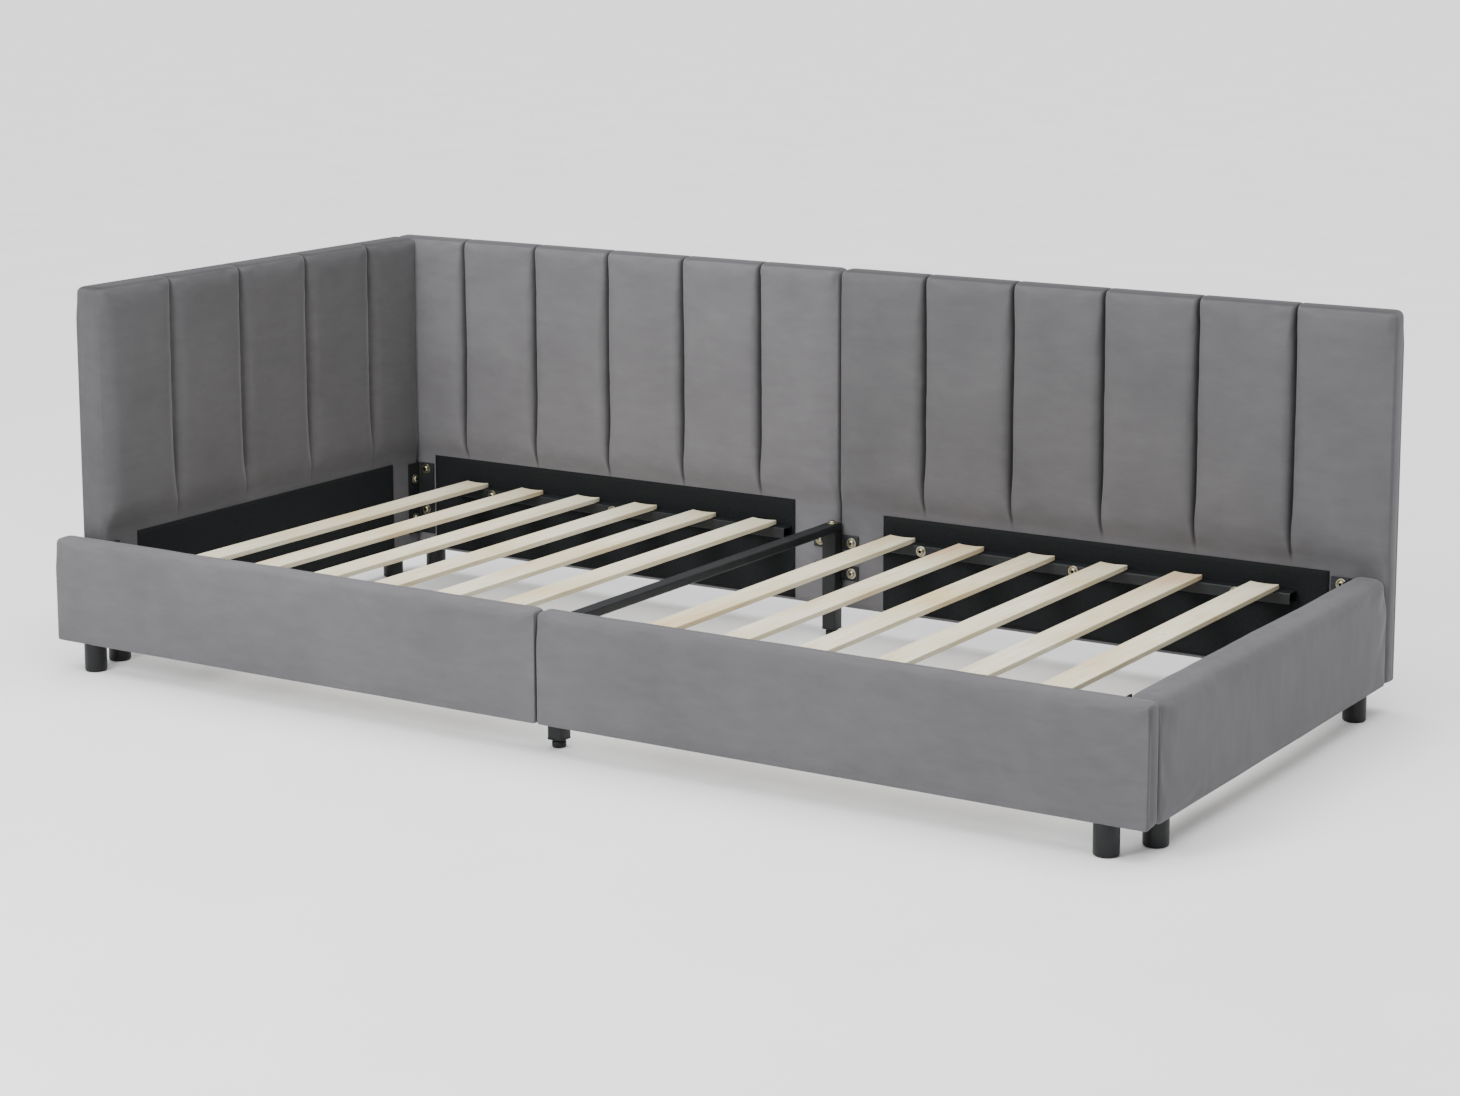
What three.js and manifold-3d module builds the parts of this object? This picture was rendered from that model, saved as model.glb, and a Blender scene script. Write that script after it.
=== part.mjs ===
// Upholstered daybed with a channelled headboard and back, low padded front and foot rails,
// a slatted deck and a steel centre support. Millimetres, +Z up.
// +X runs along the bed to the foot end, the headboard is at -X, the front rail at -Y, the back at +Y.
// The origin is the middle of the bed's footprint, on the floor.
import * as THREE from 'three';
import { mergeVertices } from 'three/addons/utils/BufferGeometryUtils.js';
import Module from 'manifold-3d';

// ---------------------------------------------------------------- driving dimensions
const bedLength = 2150;           // over the front rail
const bedWidth = 1000;            // over the front rail and the back
const panelTop = 692;             // top of the headboard and back
const railTop = 240;              // top of the front and foot rails
const panelBottom = 50;           // underside of every panel, which is the leg height
const headSetIn = 30;             // headboard and back stop short of the front rail's end by this
const frontSplit = -10;           // where the two front rails meet
const backSplit = 0;              // where the two back panels meet

const headThick = 52;             // headboard, below its channels
const backThick = 42;             // back panels, below their channels
const frontThick = 42;
const footThick = 64;
const coreThick = 20;             // wooden core board in every panel
const coverThick = 2.5;           // velvet and its backing on the foam-filled panels
const coreEdge = 12;              // padding between a core board's edges and the panel's outline

const channelCrest = 10;          // how far a channel stands out of the flat lower part
const channelFoot = 252;          // where the channels end above the floor
const headChannels = 5;
const backChannels = 6;
const headRearShare = 0.81;       // width of the headboard's rearmost channel, as a share of the others
const topRound = 14;
const footTopRound = 26;
const bottomRound = 6;
const endRound = 12;

const gap = 0.3;                  // between pieces that touch
const panelGap = 1.5;             // between neighbouring padded panels

const liningThick = 1;
const liningBelowRail = 2;        // headboard and right back panel: its top edge, below the rails' top
const liningBelowChannels = 4;    // left back panel: its top edge, below the foot of the channels
const liningBelowCrown = 4;       // rails: its top edge, below the rounding of the crown
const liningAboveBottom = 8;      // its lower edge, above the panels' underside
const liningMargin = 42;          // long panels: from the neighbouring panel, past the corner bracket
const liningEndMargin = 86;       // headboard and foot rail: from either end
const liningSplitMargin = 95;     // from the split, past the centre support
const windowLap = 12;             // velvet under the lining's edge

const ledgerDeep = 30;
const ledgerHigh = 20;
const ledgerWall = 2;
const ledgerTop = 197;
const ledgerOverhang = 26;        // past the outermost slats' edges
const ledgerBoltEnd = 100;        // outer bolt holes from a bearer's ends

const slatsPerHalf = 6;
const slatWide = 53;
const slatThick = 9;
const slatFirst = 150;            // innermost slat's centre line from the bed's middle
const slatLastHead = 160;         // outermost slat's centre line from the headboard's inner face
const slatLastFoot = 153;         // and from the foot rail's inner face
const slatEndGap = 15;            // between a slat's end and the panel

const legDiameter = 40;
const legFootRound = 5;
const legFromEnd = 74;            // front rail and back legs, from the panel's end
const legFromEndShort = 58;       // headboard and foot rail legs, from the panel's end
const studDiameter = 8;
const studLength = 26;
const studClearance = 0.5;

const tubeSide = 28;              // centre legs and the beam's width
const tubeWall = 2;
const beamHigh = 15;
const beamTop = 215;
const centreX = (frontSplit + backSplit) / 2;
const plateLong = 96;
const plateHigh = 28;
const plateThick = 3;
const weldDepth = 0.5;            // how far a plate runs into the tube's wall
const plateUpperZ = 178;
const plateLowerZ = 120;
const plateBoltX = 34;            // bolt hole from the centre leg's axis

const footPadDiameter = 24;
const footPadHigh = 11;
const footStudTop = 50;
const footRetract = 2.5;          // gap between the pad and the plug above it
const plugFlange = 3;
const plugDeep = 22;

const bracketWide = 38;
const bracketThick = 3;
const bracketBelowRail = 10;
const bracketHigh = 145;
const bracketEndBoltZ = 32;       // headboard and foot flanges: bolt holes from the bracket's ends
const bracketSideBoltTop = 12;    // front and back flanges: upper bolt hole from the bracket's top
const bracketSideBoltPitch = 84;  // and the lower one below it
const boltHole = 9;

const washerDiameter = 20;
const washerThick = 1.6;
const boltHeadDiameter = 13;
const boltHeadHigh = 5.5;
const boltShankDiameter = 8;
const boltShankLength = 24;

// ---------------------------------------------------------------- places worked out from them
const half = bedLength / 2;
const frontY = -bedWidth / 2;
const backY = bedWidth / 2;
const frontInner = frontY + frontThick;
const backInner = backY - backThick;
const headOuter = -half + headSetIn;
const headInner = headOuter + headThick;
const footInner = half - footThick;
const slatTop = ledgerTop + gap + slatThick;
const liningTop = railTop - liningBelowRail;
const highLiningTop = channelFoot - liningBelowChannels;
const liningTopUnder = (crown) => railTop - crown - liningBelowCrown;
const liningBottom = panelBottom + liningAboveBottom;
const bracketTop = railTop - bracketBelowRail;
const studHole = studDiameter / 2 + studClearance;

// ---------------------------------------------------------------- materials
const finish = (color, roughness, metalness = 0) => ({ color, roughness, metalness });
const finishes = {
  velvet: finish(0x848688, 0.85),
  foam: finish(0xd9d6c8, 0.95),
  board: finish(0xb79a72, 0.8),
  lining: finish(0x1d1f20, 0.95),
  blackSteel: finish(0x202427, 0.5, 0.4),
  slatWood: finish(0xd9d2bb, 0.65),
  blackPlastic: finish(0x1b1d1f, 0.5),
  zinc: finish(0xb9b49a, 0.35, 0.9),
};

const group = new THREE.Group();
group.name = 'daybed';

function addPiece(name, geometry, finishName) {
  const material = new THREE.MeshStandardMaterial(finishes[finishName]);
  const mesh = new THREE.Mesh(geometry, material);
  mesh.name = name;
  group.add(mesh);
}

// ---------------------------------------------------------------- solids for cutting and joining
const wasm = await Module();
wasm.setup();

function toSolid(geometry) {
  const bare = geometry.index ? geometry.toNonIndexed() : geometry.clone();
  bare.deleteAttribute('normal');
  bare.deleteAttribute('uv');
  const merged = mergeVertices(bare, 1e-4);
  return new wasm.Manifold(new wasm.Mesh({
    numProp: 3,
    vertProperties: new Float32Array(merged.attributes.position.array),
    triVerts: new Uint32Array(merged.index.array),
  }));
}

function toGeometry(solid) {
  const mesh = solid.getMesh();
  const geometry = new THREE.BufferGeometry();
  geometry.setAttribute('position', new THREE.BufferAttribute(mesh.vertProperties, 3));
  geometry.setIndex(new THREE.BufferAttribute(mesh.triVerts, 1));
  return geometry;
}

// A box between two corners.
function boxSolid(low, high) {
  const size = high.map((value, i) => value - low[i]);
  const geometry = new THREE.BoxGeometry(...size);
  geometry.translate(...low.map((value, i) => value + size[i] / 2));
  return toSolid(geometry);
}

// A round bar between two heights, its axis along Z.
function roundSolid(x, y, low, high, radius, sides = 12) {
  const geometry = new THREE.CylinderGeometry(radius, radius, high - low, sides);
  geometry.rotateX(Math.PI / 2);
  geometry.translate(x, y, (low + high) / 2);
  return toSolid(geometry);
}

// A round bar along X or Y, centred on a point.
function crossBar(point, radius, length, axis) {
  const geometry = new THREE.CylinderGeometry(radius, radius, length, 10);
  if (axis === 'x') {
    geometry.rotateZ(Math.PI / 2);
  }
  geometry.translate(...point);
  return toSolid(geometry);
}

// ---------------------------------------------------------------- padded panels
// A panel is made lying along +X from 0 to its length, its inner face towards +Y, its outer face at
// y = 0, and is then turned and moved into place.

function roundedOutline(points) {
  const shape = new THREE.Shape();
  points.forEach(([x, y, radius], i) => {
    const corner = new THREE.Vector2(x, y);
    const [beforeX, beforeY] = points[(i + points.length - 1) % points.length];
    const [afterX, afterY] = points[(i + 1) % points.length];
    const towardsBefore = new THREE.Vector2(beforeX, beforeY).sub(corner).setLength(radius);
    const towardsAfter = new THREE.Vector2(afterX, afterY).sub(corner).setLength(radius);
    const start = corner.clone().add(towardsBefore);
    const end = corner.clone().add(towardsAfter);
    if (i === 0) {
      shape.moveTo(start.x, start.y);
    } else {
      shape.lineTo(start.x, start.y);
    }
    if (radius > 0) {
      shape.quadraticCurveTo(corner.x, corner.y, end.x, end.y);
    }
  });
  shape.closePath();
  return shape;
}

// Plan outline of a panel: straight outer face, round ends, and one shallow arc for each channel.
// flatEnd is the stretch behind a neighbouring panel, which has no padding.
function planOutline(panel, shrink) {
  const { length, thick, crest, seams } = panel;
  const low = shrink;
  const high = length - shrink;
  const inner = thick - shrink;
  const round = Math.max(endRound - shrink, 1);
  const shape = new THREE.Shape();
  shape.moveTo(low + round, shrink);
  shape.lineTo(high - round, shrink);
  shape.quadraticCurveTo(high, shrink, high, shrink + round);
  shape.lineTo(high, inner - round);
  shape.quadraticCurveTo(high, inner, high - round, inner);
  const lastStop = panel.flatEnd > 0 ? panel.length - panel.flatEnd : high - round;
  shape.lineTo(lastStop, inner);
  const stops = [low + round, ...seams, lastStop].reverse();
  stops.slice(1).forEach((stop, i) => {
    const from = stops[i];
    if (crest > 0) {
      const reach = crest * 4 / 3;
      const quarter = (from - stop) / 8;
      shape.bezierCurveTo(from - quarter, inner + reach, stop + quarter, inner + reach, stop, inner);
    } else {
      shape.lineTo(stop, inner);
    }
  });
  shape.quadraticCurveTo(low, inner, low, inner - round);
  shape.lineTo(low, shrink + round);
  shape.quadraticCurveTo(low, shrink, low + round, shrink);
  return shape;
}

// Cross-section of a panel, thickness against height.
function sectionOutline(panel, shrink) {
  const { thick, top, crest, round } = panel;
  const bottom = panelBottom + shrink;
  const crown = Math.max(round - shrink, 1);
  const base = Math.max(bottomRound - shrink, 1);
  const step = channelFoot + shrink;
  const lowerInner = [thick - shrink, bottom, base];
  const upperInner = crest > 0
    ? [[thick - shrink, step, 2], [thick + crest - shrink, step + crest, 4]]
    : [];
  return roundedOutline([
    [shrink, bottom, base],
    lowerInner,
    ...upperInner,
    [thick + crest - shrink, top - shrink, crown],
    [shrink, top - shrink, crown],
  ]);
}

function panelSolid(panel, shrink) {
  const plan = new THREE.ExtrudeGeometry(planOutline(panel, shrink), {
    depth: panel.top,
    bevelEnabled: false,
    curveSegments: 5,
  });
  const section = new THREE.ExtrudeGeometry(sectionOutline(panel, shrink), {
    depth: panel.length,
    bevelEnabled: false,
    curveSegments: 4,
  });
  section.rotateX(Math.PI / 2);
  section.rotateZ(Math.PI / 2);
  return toSolid(plan).intersect(toSolid(section));
}

function coreSolid(panel, grow) {
  const outer = (panel.thick - coreThick) / 2;
  const edge = coreEdge - grow;
  return boxSolid(
    [edge, outer - grow, panelBottom + edge],
    [panel.length - edge, outer + coreThick + grow, panel.top - edge],
  );
}

// The opening in the padding behind the lining patch.
function windowSolid(panel) {
  return boxSolid(
    [panel.lining[0] + windowLap, panel.thick / 2, liningBottom + windowLap],
    [panel.lining[1] - windowLap, panel.thick + channelCrest, panel.liningTop - windowLap],
  );
}

function studBore(panel, x) {
  return roundSolid(x, panel.thick / 2, 0, panelBottom + studLength + gap, studHole);
}

function liningSolid(panel) {
  return boxSolid(
    [panel.lining[0], panel.thick + gap, liningBottom],
    [panel.lining[1], panel.thick + gap + liningThick, panel.liningTop],
  );
}

function placed(solid, panel) {
  const geometry = toGeometry(solid);
  geometry.rotateZ(panel.turn);
  geometry.translate(panel.at[0], panel.at[1], 0);
  return geometry;
}

function buildPanel(panel) {
  const cutBores = (solid) => panel.legs.reduce((left, x) => left.subtract(studBore(panel, x)), solid);
  const outside = panelSolid(panel, 0);
  const opening = windowSolid(panel);
  const core = coreSolid(panel, 0);
  const coreRoom = coreSolid(panel, gap);
  addPiece(`${panel.name}_core`, placed(cutBores(core), panel), 'board');
  if (panel.crest > 0) {
    const cover = outside.subtract(panelSolid(panel, coverThick)).subtract(opening);
    const foam = panelSolid(panel, coverThick + gap).subtract(coreRoom).subtract(opening);
    addPiece(`${panel.name}_cover`, placed(cutBores(cover), panel), 'velvet');
    addPiece(`${panel.name}_foam`, placed(cutBores(foam), panel), 'foam');
  } else {
    const cover = outside.subtract(coreRoom).subtract(opening);
    addPiece(`${panel.name}_cover`, placed(cutBores(cover), panel), 'velvet');
  }
  addPiece(`${panel.name}_lining`, placed(liningSolid(panel), panel), 'lining');
}

// Seams at an even pitch, the first channel narrower than the others by firstShare.
function seamPlaces(length, count, firstShare = 1) {
  const pitch = length / (count - 1 + firstShare);
  return Array.from({ length: count - 1 }, (_, i) => pitch * (firstShare + i));
}

const shortLength = backInner - frontInner - 2 * panelGap;
const frontLeftLength = frontSplit + half - panelGap / 2;
const frontRightLength = half - frontSplit - panelGap / 2;
const backLeftLength = backSplit - headOuter - panelGap / 2;
const backRightLength = half - backSplit - panelGap / 2;
const turnRound = Math.PI;
const quarterTurn = Math.PI / 2;

// at is the place of the panel's own corner: its outer face, at the end that its length starts from.
const panels = [
  {
    name: 'headboard', length: shortLength, thick: headThick, crest: channelCrest, top: panelTop,
    round: topRound, seams: seamPlaces(shortLength, headChannels, headRearShare), turn: -quarterTurn,
    at: [headOuter, backInner - panelGap], flatEnd: 0,
    legs: [legFromEndShort, shortLength - legFromEndShort],
    lining: [liningEndMargin, shortLength - liningEndMargin], liningTop,
  },
  {
    name: 'back_left', length: backLeftLength, thick: backThick, crest: channelCrest, top: panelTop,
    round: topRound, seams: seamPlaces(backLeftLength, backChannels), turn: turnRound,
    at: [backSplit - panelGap / 2, backY], flatEnd: headThick + channelCrest + panelGap,
    legs: [backLeftLength - legFromEnd],
    lining: [liningSplitMargin, backLeftLength - headThick - liningMargin],
    liningTop: highLiningTop,
  },
  {
    name: 'back_right', length: backRightLength, thick: backThick, crest: channelCrest, top: panelTop,
    round: topRound, seams: seamPlaces(backRightLength, backChannels), turn: turnRound,
    at: [half, backY], flatEnd: 0,
    legs: [legFromEnd],
    lining: [footThick + liningMargin, backRightLength - liningSplitMargin], liningTop,
  },
  {
    name: 'front_left', length: frontLeftLength, thick: frontThick, crest: 0, top: railTop,
    round: topRound, seams: [], turn: 0, at: [-half, frontY], flatEnd: 0,
    legs: [legFromEnd],
    lining: [headSetIn + headThick + liningMargin, frontLeftLength - liningSplitMargin],
    liningTop: liningTopUnder(topRound),
  },
  {
    name: 'front_right', length: frontRightLength, thick: frontThick, crest: 0, top: railTop,
    round: topRound, seams: [], turn: 0, at: [frontSplit + panelGap / 2, frontY], flatEnd: 0,
    legs: [frontRightLength - legFromEnd],
    lining: [liningSplitMargin, frontRightLength - footThick - liningMargin],
    liningTop: liningTopUnder(topRound),
  },
  {
    name: 'foot', length: shortLength, thick: footThick, crest: 0, top: railTop,
    round: footTopRound, seams: [], turn: quarterTurn, at: [half, frontInner + panelGap], flatEnd: 0,
    legs: [legFromEndShort, shortLength - legFromEndShort],
    lining: [liningEndMargin, shortLength - liningEndMargin],
    liningTop: liningTopUnder(footTopRound),
  },
];
panels.forEach(buildPanel);

// ---------------------------------------------------------------- round legs
function legGeometry() {
  const radius = legDiameter / 2;
  const stud = studDiameter / 2;
  const top = panelBottom - gap;
  const outline = new THREE.Path();
  outline.moveTo(0, 0);
  outline.lineTo(radius - legFootRound, 0);
  outline.quadraticCurveTo(radius, 0, radius, legFootRound);
  outline.lineTo(radius, top);
  outline.lineTo(stud, top);
  outline.lineTo(stud, panelBottom + studLength);
  outline.lineTo(0, panelBottom + studLength);
  const geometry = new THREE.LatheGeometry(outline.getPoints(3), 24);
  geometry.rotateX(quarterTurn);
  return toGeometry(toSolid(geometry));
}

function placeLegs() {
  const leg = legGeometry();
  panels.forEach((panel) => panel.legs.forEach((along, i) => {
    const place = new THREE.Vector3(along, panel.thick / 2, 0);
    place.applyAxisAngle(new THREE.Vector3(0, 0, 1), panel.turn);
    const end = panel.legs.length > 1 ? `_${i + 1}` : '';
    const geometry = leg.clone().translate(place.x + panel.at[0], place.y + panel.at[1], 0);
    addPiece(`${panel.name}_leg${end}`, geometry, 'blackPlastic');
  }));
}
placeLegs();

// ---------------------------------------------------------------- slats and their bearers
const leftSpan = [headInner + slatLastHead, centreX - slatFirst];
const rightSpan = [centreX + slatFirst, footInner - slatLastFoot];

function buildSlats(side, [from, to]) {
  for (let i = 0; i < slatsPerHalf; i += 1) {
    const x = from + (to - from) * i / (slatsPerHalf - 1);
    const slat = boxSolid(
      [x - slatWide / 2, frontInner + slatEndGap, ledgerTop + gap],
      [x + slatWide / 2, backInner - slatEndGap, slatTop],
    );
    addPiece(`slat_${side}_${i + 1}`, toGeometry(slat), 'slatWood');
  }
}

// A rectangular steel tube along the panel, with one cross hole near each end and one in the middle.
function buildLedger(name, [from, to], wallFace, inwards) {
  const low = from - slatWide / 2 - ledgerOverhang;
  const high = to + slatWide / 2 + ledgerOverhang;
  const near = wallFace + inwards * (liningThick + 2 * gap);
  const far = near + inwards * ledgerDeep;
  const [yLow, yHigh] = [Math.min(near, far), Math.max(near, far)];
  const bar = boxSolid([low, yLow, ledgerTop - ledgerHigh], [high, yHigh, ledgerTop]);
  const hollow = boxSolid(
    [low - ledgerWall, yLow + ledgerWall, ledgerTop - ledgerHigh + ledgerWall],
    [high + ledgerWall, yHigh - ledgerWall, ledgerTop - ledgerWall],
  );
  const boltZ = ledgerTop - ledgerHigh / 2;
  const boltXs = [low + ledgerBoltEnd, (low + high) / 2, high - ledgerBoltEnd];
  const cut = boltXs.reduce((left, x) => left.subtract(
    crossBar([x, (near + far) / 2, boltZ], boltHole / 2, ledgerDeep * 2, 'y'),
  ), bar.subtract(hollow));
  addPiece(name, toGeometry(cut), 'blackSteel');
}

buildSlats('left', leftSpan);
buildSlats('right', rightSpan);
buildLedger('ledger_front_left', leftSpan, frontInner, 1);
buildLedger('ledger_front_right', rightSpan, frontInner, 1);
buildLedger('ledger_back_left', leftSpan, backInner, -1);
buildLedger('ledger_back_right', rightSpan, backInner, -1);

// ---------------------------------------------------------------- centre support
const beamBottom = beamTop - beamHigh;
const legTop = beamBottom - gap;
const padTop = footPadHigh;
const plugBottom = padTop + footRetract;
const tubeBottom = plugBottom + plugFlange + gap;

// Square-tube leg with a closed top and two welded cross plates against the panel.
function buildCentreLeg(name, y, towardsPanel) {
  const side = tubeSide / 2;
  const inner = side - tubeWall;
  const body = boxSolid([centreX - side, y - side, tubeBottom], [centreX + side, y + side, legTop]);
  const hollow = boxSolid(
    [centreX - inner, y - inner, tubeBottom - tubeWall],
    [centreX + inner, y + inner, legTop - tubeWall],
  );
  const plateNear = y + towardsPanel * (side - weldDepth);
  const plateFar = y + towardsPanel * (side + plateThick);
  const [yLow, yHigh] = [Math.min(plateNear, plateFar), Math.max(plateNear, plateFar)];
  const plateAt = (z) => boxSolid(
    [centreX - plateLong / 2, yLow, z - plateHigh / 2],
    [centreX + plateLong / 2, yHigh, z + plateHigh / 2],
  );
  const holes = [plateUpperZ, plateLowerZ].flatMap((z) => [-1, 1].map((hand) => (
    crossBar([centreX + hand * plateBoltX, y + towardsPanel * side, z], boltHole / 2, 4 * plateThick, 'y')
  )));
  const beamHole = roundSolid(centreX, y, legTop - 2 * tubeWall, beamBottom, boltHole / 2);
  const welded = body.add(plateAt(plateUpperZ)).add(plateAt(plateLowerZ)).subtract(hollow);
  const leg = [...holes, beamHole].reduce((left, hole) => left.subtract(hole), welded);
  addPiece(`centre_leg_${name}`, toGeometry(leg), 'blackSteel');
}

// Plastic plug in the leg's lower end, with a flange under the tube and a bore for the foot's stud.
function buildPlug(name, y) {
  const side = tubeSide / 2;
  const inner = side - tubeWall - gap;
  const flange = boxSolid(
    [centreX - side, y - side, plugBottom],
    [centreX + side, y + side, plugBottom + plugFlange],
  );
  const shank = boxSolid(
    [centreX - inner, y - inner, plugBottom],
    [centreX + inner, y + inner, plugBottom + plugFlange + plugDeep],
  );
  const bore = roundSolid(centreX, y, 0, footStudTop, studDiameter / 2 + gap);
  addPiece(`leg_plug_${name}`, toGeometry(flange.add(shank).subtract(bore)), 'blackPlastic');
}

// Levelling foot: a round pad on a threaded stud.
function buildLevellingFoot(name, y) {
  const pad = footPadDiameter / 2;
  const stud = studDiameter / 2;
  const edge = 1.5;
  const outline = [
    [0, 0], [pad - edge, 0], [pad, edge], [pad, padTop - edge], [pad - edge, padTop],
    [stud, padTop], [stud, footStudTop], [0, footStudTop],
  ].map(([x, z]) => new THREE.Vector2(x, z));
  const geometry = new THREE.LatheGeometry(outline, 16);
  geometry.rotateX(quarterTurn);
  geometry.translate(centreX, y, 0);
  addPiece(`levelling_foot_${name}`, toGeometry(toSolid(geometry)), 'blackPlastic');
}

// Bolt with its washer, head up, holding the beam down on a centre leg.
function buildBeamBolt(name, y) {
  const washerLow = beamTop + gap;
  const headLow = washerLow + washerThick;
  const shank = roundSolid(centreX, y, beamTop - boltShankLength, headLow, boltShankDiameter / 2);
  const washer = roundSolid(centreX, y, washerLow, headLow, washerDiameter / 2);
  const head = roundSolid(centreX, y, washerLow, headLow + boltHeadHigh, boltHeadDiameter / 2);
  addPiece(`beam_bolt_${name}`, toGeometry(shank.add(washer).add(head)), 'zinc');
}

const towardsFace = tubeSide / 2 + plateThick + gap;
const frontLegY = frontInner + towardsFace;
const backLegY = backInner - towardsFace;

function buildBeam() {
  const side = tubeSide / 2;
  const inner = side - tubeWall;
  const yLow = frontLegY - side;
  const yHigh = backLegY + side;
  const bar = boxSolid([centreX - side, yLow, beamBottom], [centreX + side, yHigh, beamTop]);
  const hollow = boxSolid(
    [centreX - inner, yLow - tubeWall, beamBottom + tubeWall],
    [centreX + inner, yHigh + tubeWall, beamTop - tubeWall],
  );
  const holes = [frontLegY, backLegY].map((y) => (
    roundSolid(centreX, y, beamBottom - tubeWall, beamTop + tubeWall, boltHole / 2)
  ));
  const beam = holes.reduce((left, hole) => left.subtract(hole), bar.subtract(hollow));
  addPiece('centre_beam', toGeometry(beam), 'blackSteel');
}

buildBeam();
[['front', frontLegY, -1], ['back', backLegY, 1]].forEach(([name, y, towardsPanel]) => {
  buildCentreLeg(name, y, towardsPanel);
  buildPlug(name, y);
  buildLevellingFoot(name, y);
  buildBeamBolt(name, y);
});

// ---------------------------------------------------------------- corner brackets
// An angle in an inner corner: signX and signY point from the corner into the bed.
function buildBracket(name, cornerX, cornerY, signX, signY) {
  const low = bracketTop - bracketHigh;
  const x = cornerX + signX * gap;
  const y = cornerY + signY * gap;
  const slab = (spanX, spanY) => boxSolid(
    [Math.min(x, x + signX * spanX), Math.min(y, y + signY * spanY), low],
    [Math.max(x, x + signX * spanX), Math.max(y, y + signY * spanY), bracketTop],
  );
  const angle = slab(bracketWide, bracketThick).add(slab(bracketThick, bracketWide));
  const sideUpper = bracketTop - bracketSideBoltTop;
  const sideHoles = [sideUpper, sideUpper - bracketSideBoltPitch].map((z) => (
    crossBar([x + signX * bracketWide / 2, y, z], boltHole / 2, 4 * bracketThick, 'y')
  ));
  const endHoles = [low + bracketEndBoltZ, bracketTop - bracketEndBoltZ].map((z) => (
    crossBar([x, y + signY * bracketWide / 2, z], boltHole / 2, 4 * bracketThick, 'x')
  ));
  const holes = [...sideHoles, ...endHoles];
  const cut = holes.reduce((left, hole) => left.subtract(hole), angle);
  addPiece(`corner_bracket_${name}`, toGeometry(cut), 'blackSteel');
}

buildBracket('head_front', headInner, frontInner, 1, 1);
buildBracket('head_back', headInner, backInner, 1, -1);
buildBracket('foot_front', footInner, frontInner, -1, 1);
buildBracket('foot_back', footInner, backInner, -1, -1);

export default group;
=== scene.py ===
# Upholstered daybed: channelled velvet headboard and back, low padded rails, slatted deck and a
# black steel centre support. Metres, +Z up, +X to the foot end, +Y to the back.
import math

import bmesh
import bpy
from mathutils import Matrix, Quaternion, Vector, noise


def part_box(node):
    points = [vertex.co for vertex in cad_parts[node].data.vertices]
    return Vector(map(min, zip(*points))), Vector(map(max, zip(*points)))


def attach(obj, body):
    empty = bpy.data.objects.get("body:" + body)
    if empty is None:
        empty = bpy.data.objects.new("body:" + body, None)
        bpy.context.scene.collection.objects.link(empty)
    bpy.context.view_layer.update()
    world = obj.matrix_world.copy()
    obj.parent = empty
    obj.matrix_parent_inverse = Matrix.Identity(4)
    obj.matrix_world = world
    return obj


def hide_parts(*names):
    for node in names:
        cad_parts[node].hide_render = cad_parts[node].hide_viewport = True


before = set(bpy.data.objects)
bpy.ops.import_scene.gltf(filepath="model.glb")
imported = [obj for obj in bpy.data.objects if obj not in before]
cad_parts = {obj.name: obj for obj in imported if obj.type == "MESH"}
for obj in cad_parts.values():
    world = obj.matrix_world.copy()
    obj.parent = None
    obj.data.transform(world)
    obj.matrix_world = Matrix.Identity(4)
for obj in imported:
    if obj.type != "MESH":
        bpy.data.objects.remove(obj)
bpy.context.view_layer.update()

MM = 0.001


# ------------------------------------------------------------------ camera, lights and floor
CAMERA_PLACE = (2.8566, -4.4255, 1.4163)
CAMERA_AZIMUTH = 32.39
CAMERA_ELEVATION = 9.22
CAMERA_ROLL = -0.135
CAMERA_LENS = 76.0
CAMERA_SHIFT_UP = -0.12
FLOOR_HALF = 60.0
WORLD_GLOW = 0.35


def make_camera():
    azimuth = math.radians(CAMERA_AZIMUTH)
    elevation = math.radians(CAMERA_ELEVATION)
    looking = Vector((
        -math.sin(azimuth) * math.cos(elevation),
        math.cos(azimuth) * math.cos(elevation),
        -math.sin(elevation),
    ))
    data = bpy.data.cameras.new("camera")
    data.lens = CAMERA_LENS
    data.sensor_width = 36.0
    data.shift_y = CAMERA_SHIFT_UP
    data.clip_end = 100.0
    camera = bpy.data.objects.new("camera", data)
    camera.rotation_mode = "QUATERNION"
    roll = Quaternion((0, 0, 1), math.radians(CAMERA_ROLL))
    camera.rotation_quaternion = looking.to_track_quat("-Z", "Y") @ roll
    camera.location = CAMERA_PLACE
    bpy.context.scene.collection.objects.link(camera)
    bpy.context.scene.camera = camera


def soft_light(name, place, aim, size, power):
    data = bpy.data.lights.new(name, "AREA")
    data.shape = "RECTANGLE"
    data.size, data.size_y = size
    data.energy = power
    light = bpy.data.objects.new(name, data)
    light.location = place
    light.visible_camera = False
    towards = Vector(aim) - Vector(place)
    light.rotation_mode = "QUATERNION"
    light.rotation_quaternion = towards.to_track_quat("-Z", "Y")
    bpy.context.scene.collection.objects.link(light)


def high_sun(name, strength, softness):
    """Light from straight above, as even as a bright ceiling. softness is its width in degrees."""
    data = bpy.data.lights.new(name, "SUN")
    data.energy = strength
    data.angle = math.radians(softness)
    light = bpy.data.objects.new(name, data)
    bpy.context.scene.collection.objects.link(light)


def linear(hex_colour):
    """sRGB hex to linear RGBA."""
    channels = [int(hex_colour[i:i + 2], 16) / 255 for i in (1, 3, 5)]
    return tuple(
        c / 12.92 if c <= 0.04045 else ((c + 0.055) / 1.055) ** 2.4 for c in channels
    ) + (1.0,)


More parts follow.
